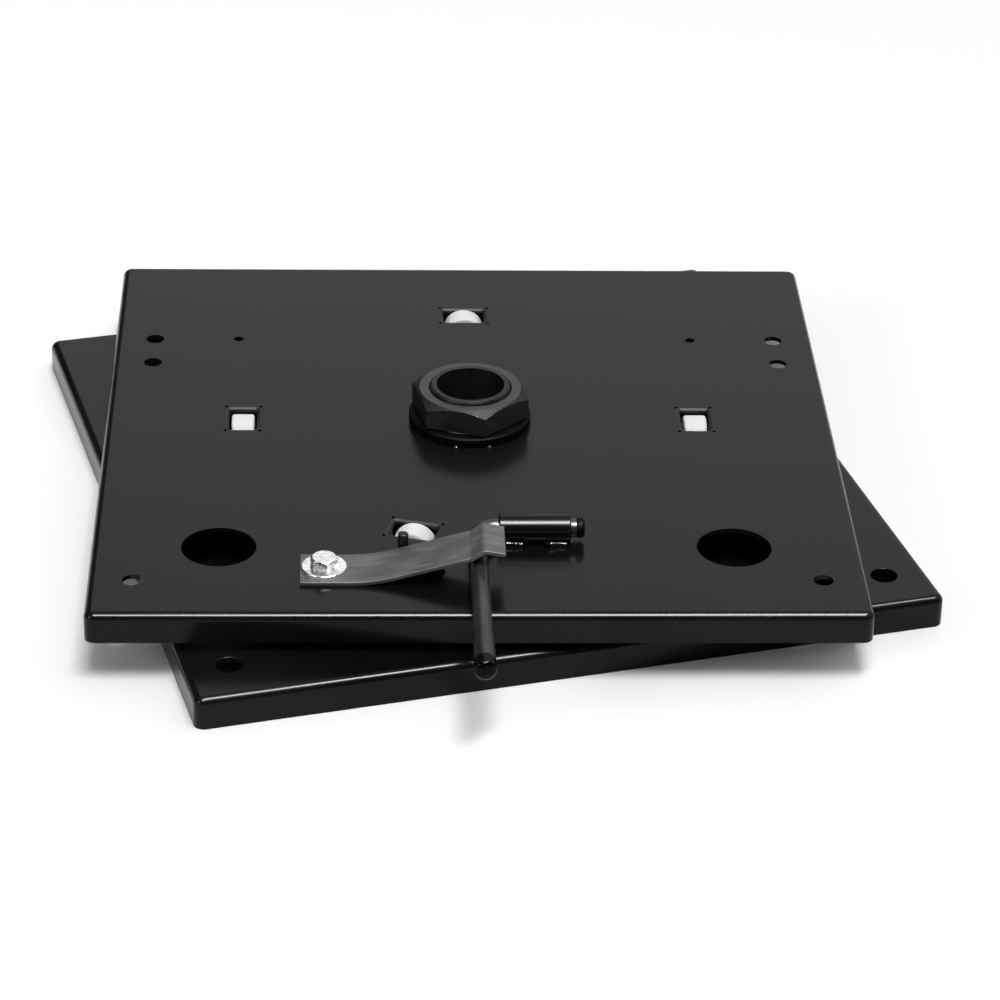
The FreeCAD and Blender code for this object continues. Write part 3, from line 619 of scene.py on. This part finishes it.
def spring_material():
    """Dark steel, rubbed paler in streaks along the spring and darker in patches."""
    material, shader = new_material("spring_steel", roughness=0.5, metallic=0.5)
    links = material.node_tree.links
    streaks = add_noise(material, scale=190, detail=5, stretch=(0.16, 1, 1))
    patches = add_noise(material, scale=45, detail=4)
    mix = material.node_tree.nodes.new("ShaderNodeMix")
    mix.data_type = "RGBA"
    mix.blend_type = "MULTIPLY"
    mix.inputs["Factor"].default_value = patch_share
    links.new(ramp(material, streaks, [(0.3, grey(spring_grey * 0.85)), (0.55, grey(spring_grey)),
                                       (0.75, grey(spring_grey * 1.35))]), mix.inputs["A"])
    links.new(ramp(material, patches, [(0.3, grey(0.6)), (0.65, grey(1.0))]), mix.inputs["B"])
    links.new(mix.outputs["Result"], shader.inputs["Base Color"])
    vary_roughness(material, shader, streaks, 0.44, 0.56)
    add_bump(material, shader, streaks, depth=0.00001, strength=0.3)
    return material


strip_points = rounded_path(strip_corners, strip_radii)
strip_mesh = bmesh.new()
flat_run = strip_points[1].x - strip_left
flat_start = [Vector((strip_left + flat_run * step / flat_steps, 0, 0))
              for step in range(1, flat_steps)]
strip_verts = [strip_mesh.verts.new(point + Vector((0, strip_front - strip_width / 2, strip_thick)))
               for point in [strip_points[0]] + flat_start + strip_points[1:]]
strip_edges = [strip_mesh.edges.new(pair) for pair in zip(strip_verts, strip_verts[1:])]
swept = bmesh.ops.extrude_edge_only(strip_mesh, edges=strip_edges)["geom"]
bmesh.ops.translate(strip_mesh, vec=(0, strip_width, 0),
                    verts=[item for item in swept if isinstance(item, bmesh.types.BMVert)])
bmesh.ops.recalc_face_normals(strip_mesh, faces=strip_mesh.faces)
if sum(face.normal.z for face in strip_mesh.faces) < 0:
    bmesh.ops.reverse_faces(strip_mesh, faces=strip_mesh.faces)
spring_steel = spring_material()
strip = new_piece("leaf_spring", strip_mesh, spring_steel)
thicken(strip, strip_thick)
finish_edges(strip, strip_rounding, angle=60)
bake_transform(strip)
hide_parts("lock_strip")

# Bolt of the leaf spring: an M8 hexagon bolt, zinc plated, on a large washer.
# A nut under the tray takes it.
bolt_place = (-0.0814, strip_front)
bolt_flats = 0.013
bolt_head_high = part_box("strip_bolt")[1][2]
bolt_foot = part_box("strip_bolt")[0][2]
bolt_turn = 44
bolt_radius = 0.004
bolt_face_radius = bolt_flats * 0.47
bolt_rounding = 0.0003
washer_radius = 0.012
washer_low, washer_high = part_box("strip_washer")[0][2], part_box("strip_washer")[1][2]
washer_bore = 0.0043
washer_edge = 0.0003
washer_rounding = 0.0002
zinc_grey = 0.78


def zinc_material():
    """Bright zinc plate, a little cloudy."""
    material, shader = new_material("zinc_plate", roughness=0.3, metallic=1.0)
    spangle = add_noise(material, scale=320, detail=5)
    shade_base(material, shader, spangle, zinc_grey * 0.75, zinc_grey * 1.25, end=0.65)
    vary_roughness(material, shader, spangle, 0.14, 0.3)
    add_bump(material, shader, spangle, depth=0.00002, strength=0.4)
    return material


zinc = zinc_material()
washer_section = [(washer_bore, washer_low), (washer_radius, washer_low),
                  (washer_radius, washer_high - washer_edge), (washer_radius - washer_edge, washer_high),
                  (washer_bore, washer_high)]
washer = new_piece("large_washer", lathe(washer_section), zinc)
finish_edges(washer, washer_rounding)
washer.data.transform(Matrix.Translation((*bolt_place, 0)))
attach(washer, "top")
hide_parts("strip_washer")
bolt = new_piece("hexagon_bolt", hexagon_mesh(bolt_flats, washer_high, bolt_head_high), zinc)
carve(bolt, chamfer_cone(bolt_face_radius, washer_high, bolt_head_high), "INTERSECT")
finish_edges(bolt, bolt_rounding, angle=25)
shank_mesh = bmesh.new()
shank_mesh.from_mesh(bolt.data)
bmesh.ops.create_cone(shank_mesh, cap_ends=True, segments=48, radius1=bolt_radius, radius2=bolt_radius,
                      depth=washer_high - bolt_foot,
                      matrix=Matrix.Translation((0, 0, (washer_high + bolt_foot) / 2)))
shank_mesh.to_mesh(bolt.data)
shank_mesh.free()
bolt.data.transform(Matrix.Translation((*bolt_place, 0))
                    @ Matrix.Rotation(math.radians(bolt_turn), 4, "Z"))
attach(bolt, "top")
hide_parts("strip_bolt")

# Guide stud: a small black pin that stands on the tray and keeps the leaf spring in line. It is
# turned from steel, with a rounded top.
stud_place = (-0.0397, -0.1495)
stud_radius = 0.0028
stud_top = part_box("guide_stud")[1][2]
stud_edge = 0.0008
stud_rounding = 0.0001
stud_section = [(0, 0), (stud_radius, 0)]
stud_section += [(point.x, point.z) for point in
                 arc_points((stud_radius - stud_edge, stud_top - stud_edge), stud_edge, 0, 90, 5)]
stud_section.append((0, stud_top))
stud = new_piece("guide_pin", lathe(stud_section, 48, closed=False), black_steel)
finish_edges(stud, stud_rounding)
stud.data.transform(Matrix.Translation((*stud_place, 0)))
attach(stud, "top")
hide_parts("guide_stud")

# Handle rod: a black coated round bar. Its cross leg turns in the sleeve, ends in an upset head,
# and bends forward under the leaf spring.
rod_radius = 0.005
rod_bend = 0.011
rod_height = 0.0075
rod_front = -0.134
rod_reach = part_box("handle_rod")[0][1]
rod_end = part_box("handle_rod")[1][0]
rod_head_length = 0.0042
rod_head_radius = 0.00535
head_round = 0.0006
head_taper = 0.0012
rod_rounding = 0.0003
rod_grey = 0.014
rod_coat = blackened_material("rod_coat", rod_grey, (0.28, 0.4))
rod_neck = rod_end - rod_head_length
neck_place = (Matrix.Translation((rod_neck, rod_front, rod_height))
              @ Matrix.Rotation(math.radians(90), 4, "Y"))
rod_mesh = bmesh.new()
bmesh.ops.create_circle(rod_mesh, segments=48, radius=rod_radius, cap_ends=True, matrix=neck_place)
grown = bmesh.ops.extrude_face_region(rod_mesh, geom=list(rod_mesh.faces))["geom"]
bmesh.ops.translate(rod_mesh, vec=(rod_bend - rod_neck, 0, 0),
                    verts=[item for item in grown if isinstance(item, bmesh.types.BMVert)])
leading = [item for item in grown if isinstance(item, bmesh.types.BMFace)]
bent = bmesh.ops.spin(rod_mesh, geom=leading, cent=(rod_bend, rod_front - rod_bend, rod_height),
                      axis=(0, 0, 1), angle=math.radians(90), steps=24)["geom_last"]
leading = [item for item in bent if isinstance(item, bmesh.types.BMFace)]
grown = bmesh.ops.extrude_face_region(rod_mesh, geom=leading)["geom"]
bmesh.ops.translate(rod_mesh, vec=(0, rod_reach - (rod_front - rod_bend), 0),
                    verts=[item for item in grown if isinstance(item, bmesh.types.BMVert)])
bmesh.ops.recalc_face_normals(rod_mesh, faces=rod_mesh.faces)
rod = new_piece("handle_bar", rod_mesh, rod_coat)
head_section = [(0, 0), (rod_head_radius - head_round, 0), (rod_head_radius, head_round),
                (rod_head_radius, rod_head_length - head_taper),
                (rod_head_radius - head_taper, rod_head_length), (0, rod_head_length)]
head_mesh = lathe(head_section, 64, closed=False)
bmesh.ops.transform(head_mesh, verts=head_mesh.verts, matrix=neck_place)
# The head takes the pivot ring's blacker coat: painted shade, darker than the rest of the rod.
rod_head = new_piece("handle_bar_head", head_mesh, ring_shade_coat)
for piece in (rod, rod_head):
    finish_edges(piece, rod_rounding)
    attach(piece, "handle")
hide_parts("handle_rod")

# Grip: a cap of black plastic pushed on the rod's front end. Its tail hugs the rod. Its side is
# satin, and its domed end is glossy and painted darker, a painted shade.
grip_radius = 0.0058
grip_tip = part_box("handle_grip")[0][1]
grip_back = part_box("handle_grip")[1][1]
grip_length = grip_back - grip_tip
grip_dome = 0.0046
grip_crown = 0.0026
dome_steps = 14
grip_gloss = 0.0095
gloss_slack = 0.0004
end_relief = 0.0003
grip_skin = 0.0001
grip_tail = 0.006
grip_lip = 0.0003
grip_rounding = 0.0001
plastic_black = 0.006
grip_plastic, grip_shader = new_material("grip_plastic", roughness=0.3)
grip_clouds = add_noise(grip_plastic, scale=120, detail=3)
shade_base(grip_plastic, grip_shader, grip_clouds, plastic_black * 0.7, plastic_black * 1.5)
vary_roughness(grip_plastic, grip_shader, grip_clouds, 0.32, 0.42)
grip_grain = add_noise(grip_plastic, scale=500, detail=2)
add_bump(grip_plastic, grip_shader, grip_grain, depth=0.00003, strength=0.3)
grip_section = [(rod_radius, 0), (rod_radius + grip_skin, grip_skin), (rod_radius + grip_skin, grip_tail),
                (rod_radius + grip_skin + grip_lip, grip_tail + grip_lip / 2),
                (grip_radius, grip_length - grip_gloss)]
for step in range(dome_steps + 1):
    turn = math.radians(90 * step / dome_steps)
    grip_section.append((grip_radius - grip_dome * (1 - math.cos(turn)),
                         grip_length - grip_crown * (1 - math.sin(turn))))
grip_section.append((0, grip_length))
grip_mesh = lathe(grip_section, 64, closed=False)
bmesh.ops.transform(grip_mesh, verts=grip_mesh.verts,
                    matrix=Matrix.Translation((0, grip_back, rod_height))
                    @ Matrix.Rotation(math.radians(90), 4, "X"))
grip = new_piece("grip_cap", grip_mesh, grip_plastic)
# The domed end is glossy and painted darker than the side: painted shade.
glossy_shaded_end, end_shader = new_material("glossy_shaded_end", roughness=0.1, specular=0.07)
end_shader.inputs["Base Color"].default_value = grey(plastic_black / 5)
add_bump(glossy_shaded_end, end_shader, add_noise(glossy_shaded_end, scale=700, detail=2), end_relief)
finish_edges(grip, grip_rounding)
grip.data.materials.append(glossy_shaded_end)
for polygon in grip.data.polygons:
    if polygon.center.y < grip_tip + grip_gloss - gloss_slack:
        polygon.material_index = 1
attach(grip, "handle")
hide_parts("handle_grip")

# Sleeve: a length of steel tube in which the rod's cross leg turns. It is chamfered at both ends and
# coated with the tray.
sleeve_left, sleeve_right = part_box("handle_sleeve")[0][0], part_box("handle_sleeve")[1][0]
sleeve_radius = 0.0075
sleeve_bore = 0.00505
sleeve_edge = 0.0006
sleeve_rounding = 0.0002
sleeve_length = sleeve_right - sleeve_left
sleeve_section = [(sleeve_bore, 0), (sleeve_radius - sleeve_edge, 0), (sleeve_radius, sleeve_edge),
                  (sleeve_radius, sleeve_length - sleeve_edge),
                  (sleeve_radius - sleeve_edge, sleeve_length), (sleeve_bore, sleeve_length)]
sleeve_mesh = lathe(sleeve_section)
bmesh.ops.transform(sleeve_mesh, verts=sleeve_mesh.verts,
                    matrix=Matrix.Translation((sleeve_left, rod_front, rod_height))
                    @ Matrix.Rotation(math.radians(90), 4, "Y"))
sleeve = new_piece("rod_sleeve", sleeve_mesh, black_coat)
finish_edges(sleeve, sleeve_rounding)
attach(sleeve, "top")
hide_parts("handle_sleeve")

# Weld beads: short runs of weld that hold the sleeve on the tray, two along each side.
# They are uneven beads under the coat.
bead_radius = 0.0021
bead_length = 0.009
bead_inset = 0.003
bead_reach = 0.0066
bead_drops = 7
bead_sink = 0.45
bead_grain = 0.0003
random.seed(11)
beads_mesh = bmesh.new()
for side in (-1, 1):
    for start in (sleeve_left + bead_inset, sleeve_right - bead_inset - bead_length):
        for step in range(bead_drops):
            size = bead_radius * random.uniform(0.75, 1.1)
            waver = random.uniform(-4, 4) * 1e-4
            spot = Vector((start + bead_length * step / (bead_drops - 1),
                           rod_front + side * (bead_reach + waver), bead_radius * bead_sink))
            bmesh.ops.create_icosphere(beads_mesh, subdivisions=3, radius=size,
                                       matrix=Matrix.Translation(spot))
weld_coat, weld_shader = new_material("weld_coat", roughness=0.12)
weld_shader.inputs["Base Color"].default_value = coat_black
weld_grain = add_noise(weld_coat, scale=900, detail=3)
add_bump(weld_coat, weld_shader, weld_grain, depth=0.0002, strength=0.6)
beads = new_piece("weld_beads", beads_mesh, weld_coat)
remesh = beads.modifiers.new("fusing", "REMESH")
remesh.mode = "VOXEL"
remesh.voxel_size = bead_grain
bake_modifiers(beads)
above_tray = bmesh.new()
box_mesh(above_tray, (-0.1, -0.3, 0), (0.2, 0, 0.05))
carve(beads, above_tray, "INTERSECT")
for polygon in beads.data.polygons:
    polygon.use_smooth = True
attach(beads, "top")
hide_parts("sleeve_welds")

# Axles, bush, lock pin, nut and foot weld: inner pieces that show only in a gap or from below.
# They keep their solid form. The axles are bright steel, the lock pin is blackened, the nut is zinc
# plated like its bolt, the bush is nylon, and the weld is coated with the tray.
pin_grey = (0.28, 0.45)
pin_steel, pin_shader = new_material("pin_steel", roughness=0.35, metallic=1.0)
pin_marks = add_noise(pin_steel, scale=400, detail=4)
shade_base(pin_steel, pin_shader, pin_marks, *pin_grey)
vary_roughness(pin_steel, pin_shader, pin_marks, 0.28, 0.42)
inner_finishes = {"axle_right": pin_steel, "axle_rear": pin_steel, "axle_left": pin_steel,
                  "axle_front": pin_steel, "lock_pin": black_steel, "strip_nut": zinc,
                  "pivot_bush": white_nylon, "shaft_weld": black_coat}
for node, finish in inner_finishes.items():
    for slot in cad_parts[node].material_slots:
        slot.material = finish

# Studio: a plain pale floor, a long soft lamp overhead and a weaker one at the front left. A longer
# lamp behind the overhead one only adds sheen to glossy surfaces.
floor_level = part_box("lower_plate")[0][2]
floor_half = 12.0
floor_pale = 1.0
floor_mesh = bmesh.new()
bmesh.ops.create_grid(floor_mesh, x_segments=1, y_segments=1, size=floor_half,
                      matrix=Matrix.Translation((0, 0, floor_level)))
floor_paint, floor_shader = new_material("studio_floor", roughness=0.9, specular=0.1)
floor_shader.inputs["Base Color"].default_value = grey(floor_pale)
floor = new_piece("studio_floor", floor_mesh, floor_paint)

key_way = Vector((0.07, -0.30, 0.95)).normalized()
key_distance = 8.0
key_size = (4.4, 1.04)
key_spin = 37
key_power = 405
sheen_distance = 8.2
sheen_size = (6.8, 1.9)
sheen_shift = 1.0
sheen_power = 2580
left_way = Vector((-0.75, -0.50, 0.40)).normalized()
left_distance = 4.0
left_size = (1.5, 1.2)
left_power = 38


def add_softbox(name, way, distance, size, power, spin=0.0, shift=0.0):
    """A rectangular lamp that faces the part from one way, moved along its own length by shift."""
    data = bpy.data.lights.new(name, "AREA")
    data.shape = "RECTANGLE"
    data.size, data.size_y = size
    data.energy = power
    lamp = bpy.data.objects.new(name, data)
    bpy.context.collection.objects.link(lamp)
    aim = way.to_track_quat("Z", "Y").to_matrix().to_4x4()
    turn = Matrix.Rotation(math.radians(spin), 4, "Z")
    along = Matrix.Translation((shift, 0, 0))
    lamp.matrix_world = Matrix.Translation(way * distance) @ aim @ turn @ along
    return lamp


add_softbox("overhead_softbox", key_way, key_distance, key_size, key_power, key_spin)
sheen = add_softbox("overhead_sheen", key_way, sheen_distance, sheen_size, sheen_power, key_spin,
                    sheen_shift)
sheen.visible_diffuse = False
add_softbox("left_softbox", left_way, left_distance, left_size, left_power)

# Surrounding light by direction: a pale panel behind the part and to its right, a grey ceiling, and
# dark cloth elsewhere, so that the bends read as dark lines.
panel_stops = [(0.0, grey(0.5)), (0.28, grey(0.5)), (0.42, grey(1.1)), (0.7, grey(0.85)),
               (1.0, grey(0.42))]
cloth_stops = [(0.0, grey(0.10)), (0.08, grey(0.06)), (0.62, grey(0.06)), (0.80, grey(0.35)),
               (1.0, grey(0.42))]
panel_edges = [(0.26, grey(0)), (0.40, grey(1))]
panel_front = (-0.3, 0.0)
panel_sides = (-0.5, 0.5)
world = bpy.data.worlds.new("studio_world")
bpy.context.scene.world = world
world.use_nodes = True
world_nodes, world_links = world.node_tree.nodes, world.node_tree.links
sky_way = world_nodes.new("ShaderNodeTexCoord")
sky_parts = world_nodes.new("ShaderNodeSeparateXYZ")
world_links.new(sky_way.outputs["Generated"], sky_parts.inputs["Vector"])
sky_behind = spread_value(world, sky_parts.outputs["Y"], *panel_front)
sky_across = spread_value(world, sky_parts.outputs["X"], *panel_sides)
sky_panel = world_nodes.new("ShaderNodeMath")
sky_panel.operation = "MULTIPLY"
world_links.new(sky_behind, sky_panel.inputs[0])
world_links.new(ramp(world, sky_across, panel_edges), sky_panel.inputs[1])
sky_mix = world_nodes.new("ShaderNodeMix")
sky_mix.data_type = "RGBA"
world_links.new(sky_panel.outputs["Value"], sky_mix.inputs["Factor"])
world_links.new(ramp(world, sky_parts.outputs["Z"], cloth_stops), sky_mix.inputs["A"])
world_links.new(ramp(world, sky_parts.outputs["Z"], panel_stops), sky_mix.inputs["B"])
world_links.new(sky_mix.outputs["Result"], world_nodes["Background"].inputs["Color"])

# Camera: where the photograph was taken from, looking down at about 30 degrees.
camera_place = (-0.0700, -1.8205, 1.0001)
camera_yaw = -2.779
camera_pitch = 30.019
camera_roll = -1.476
camera_lens = 132.08
camera_data = bpy.data.cameras.new("camera")
camera_data.sensor_width = 36
camera_data.lens = camera_lens
camera = bpy.data.objects.new("camera", camera_data)
bpy.context.collection.objects.link(camera)
camera.matrix_world = (Matrix.Translation(camera_place)
                       @ Matrix.Rotation(math.radians(camera_yaw), 4, "Z")
                       @ Matrix.Rotation(math.radians(90 - camera_pitch), 4, "X")
                       @ Matrix.Rotation(math.radians(-camera_roll), 4, "Z"))
bpy.context.scene.camera = camera
bpy.context.scene.view_settings.view_transform = "Standard"
